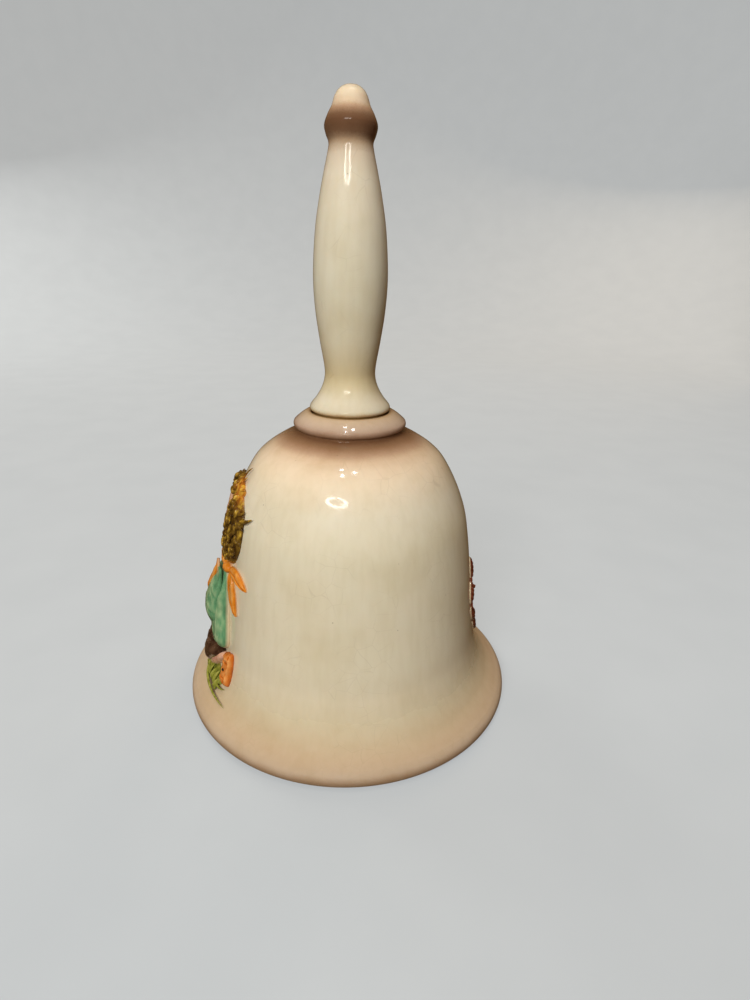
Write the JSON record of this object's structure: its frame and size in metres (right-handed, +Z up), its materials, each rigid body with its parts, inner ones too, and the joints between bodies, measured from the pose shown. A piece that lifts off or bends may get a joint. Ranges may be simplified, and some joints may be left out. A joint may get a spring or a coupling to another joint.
{
  "type": "porcelain table bell",
  "caption": "Cream glazed porcelain hand bell with a flared rim, ringed crown, turned handle, painted relief of a walking child and a bead clapper on a wire chain.",
  "frame": {"origin": "centre of the bell's foot ring, on the surface that it stands on", "axes": "+Z up along the bell's and the handle's axis; -X through the raised figure, +X through the raised wreath"},
  "size_m": [0.092, 0.092, 0.151],
  "materials": {
    "cream_glaze": "gloss glaze over cream, airbrushed brown at crown, finial and rim",
    "white_glaze": "gloss",
    "plaster": "matt",
    "brass_wire": "drawn, slightly tarnished",
    "skin_paint": "gloss glaze over painted relief",
    "hair_paint": "gloss glaze over painted relief",
    "jacket_paint": "gloss glaze over painted relief",
    "scarf_paint": "gloss glaze over painted relief",
    "trousers_paint": "gloss glaze over painted relief",
    "shoe_paint": "gloss glaze over painted relief",
    "grass_paint": "gloss glaze over painted relief",
    "russet_paint": "gloss glaze over painted relief"
  },
  "bodies": {
    "bell": {"bell_body": "cream_glaze", "handle": "cream_glaze", "anchor_plug": "plaster", "hanger_eye": "brass_wire", "figure_face": "skin_paint", "front_calf": "skin_paint", "front_shoe": "shoe_paint", "grass_blade": "grass_paint", "grass_tuft": "grass_paint", "hair_back": "hair_paint", "hair_crown": "hair_paint", "hand": "skin_paint", "jacket": "jacket_paint", "neckerchief_collar": "scarf_paint", "neckerchief_knot": "scarf_paint", "neckerchief_tail_1": "scarf_paint", "neckerchief_tail_2": "scarf_paint", "neckerchief_tail_3": "scarf_paint", "rear_calf": "skin_paint", "rear_shoe": "shoe_paint", "sleeve": "jacket_paint", "trousers": "trousers_paint", "wreath_flower": "russet_paint", "wreath_leaf_left_1": "russet_paint", "wreath_leaf_left_2": "russet_paint", "wreath_leaf_left_3": "russet_paint", "wreath_leaf_left_4": "russet_paint", "wreath_leaf_right_1": "russet_paint", "wreath_leaf_right_2": "russet_paint", "wreath_leaf_right_3": "russet_paint", "wreath_leaf_right_4": "russet_paint"},
    "link_1": {"chain_link_1": "brass_wire"},
    "link_2": {"chain_link_2": "brass_wire"},
    "link_3": {"chain_link_3": "brass_wire"},
    "clapper": {"clapper_wire": "brass_wire", "clapper_ball": "white_glaze", "clapper_crimp": "brass_wire"}
  },
  "joints": [
    {"name": "link_1_swing", "type": "hinge", "parent": "bell", "child": "link_1", "pos_m": [0, 0, 0.0686], "axis": [1, 0, 0], "range_deg": [-12, 12]},
    {"name": "link_2_swing", "type": "hinge", "parent": "link_1", "child": "link_2", "pos_m": [0, 0, 0.0626], "axis": [0, 1, 0], "range_deg": [-14, 14]},
    {"name": "link_3_swing", "type": "hinge", "parent": "link_2", "child": "link_3", "pos_m": [0, 0, 0.0566], "axis": [1, 0, 0], "range_deg": [-12, 12]},
    {"name": "clapper_swing", "type": "hinge", "parent": "link_3", "child": "clapper", "pos_m": [0, 0, 0.0506], "axis": [0, 1, 0], "range_deg": [-14, 14]}
  ]
}
